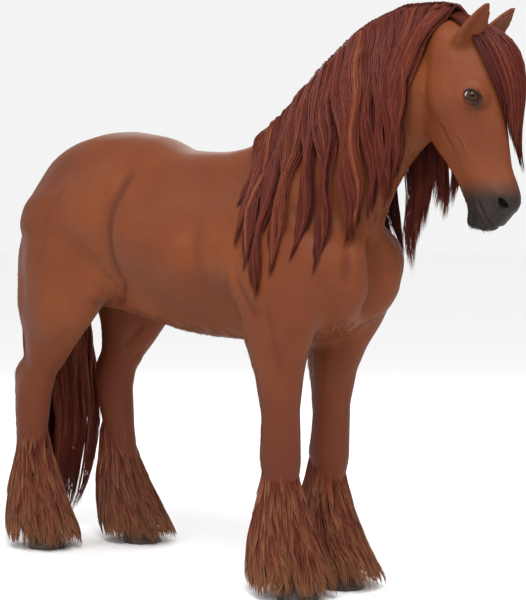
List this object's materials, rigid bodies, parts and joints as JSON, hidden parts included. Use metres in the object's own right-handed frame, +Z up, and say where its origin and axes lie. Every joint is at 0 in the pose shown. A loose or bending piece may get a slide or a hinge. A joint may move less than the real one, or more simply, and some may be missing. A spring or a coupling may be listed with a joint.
{
  "type": "heavy cob horse, standing",
  "caption": "Life-size still model of a standing feathered cob horse with a long mane, forelock and tail.",
  "frame": {"origin": "on the floor, under the middle of the whole horse's box", "axes": "+X forwards from tail to nose, +Y to the horse's left, +Z up"},
  "size_m": [2.1832, 0.6004, 1.8313],
  "materials": {
    "coat": "short smooth chestnut coat over skin, soft sheen",
    "long_hair": "long coarse hair in wavy locks, dark red-brown",
    "horn": "dark hoof horn, half matt",
    "eye": "wet dark brown eye, glossy"
  },
  "bodies": {
    "root": {"trunk": "coat", "neck": "coat", "head": "coat", "ear_left": "coat", "ear_right": "coat", "eye_left": "eye", "eye_right": "eye", "foreleg_left": "coat", "foreleg_right": "coat", "hindleg_left": "coat", "hindleg_right": "coat", "hoof_fore_left": "horn", "hoof_fore_right": "horn", "hoof_hind_left": "horn", "hoof_hind_right": "horn", "feather_fore_left": "long_hair", "feather_fore_right": "long_hair", "feather_hind_left": "long_hair", "feather_hind_right": "long_hair", "mane_left": "long_hair", "mane_right": "long_hair", "forelock": "long_hair", "tail": "long_hair"}
  },
  "joints": []
}
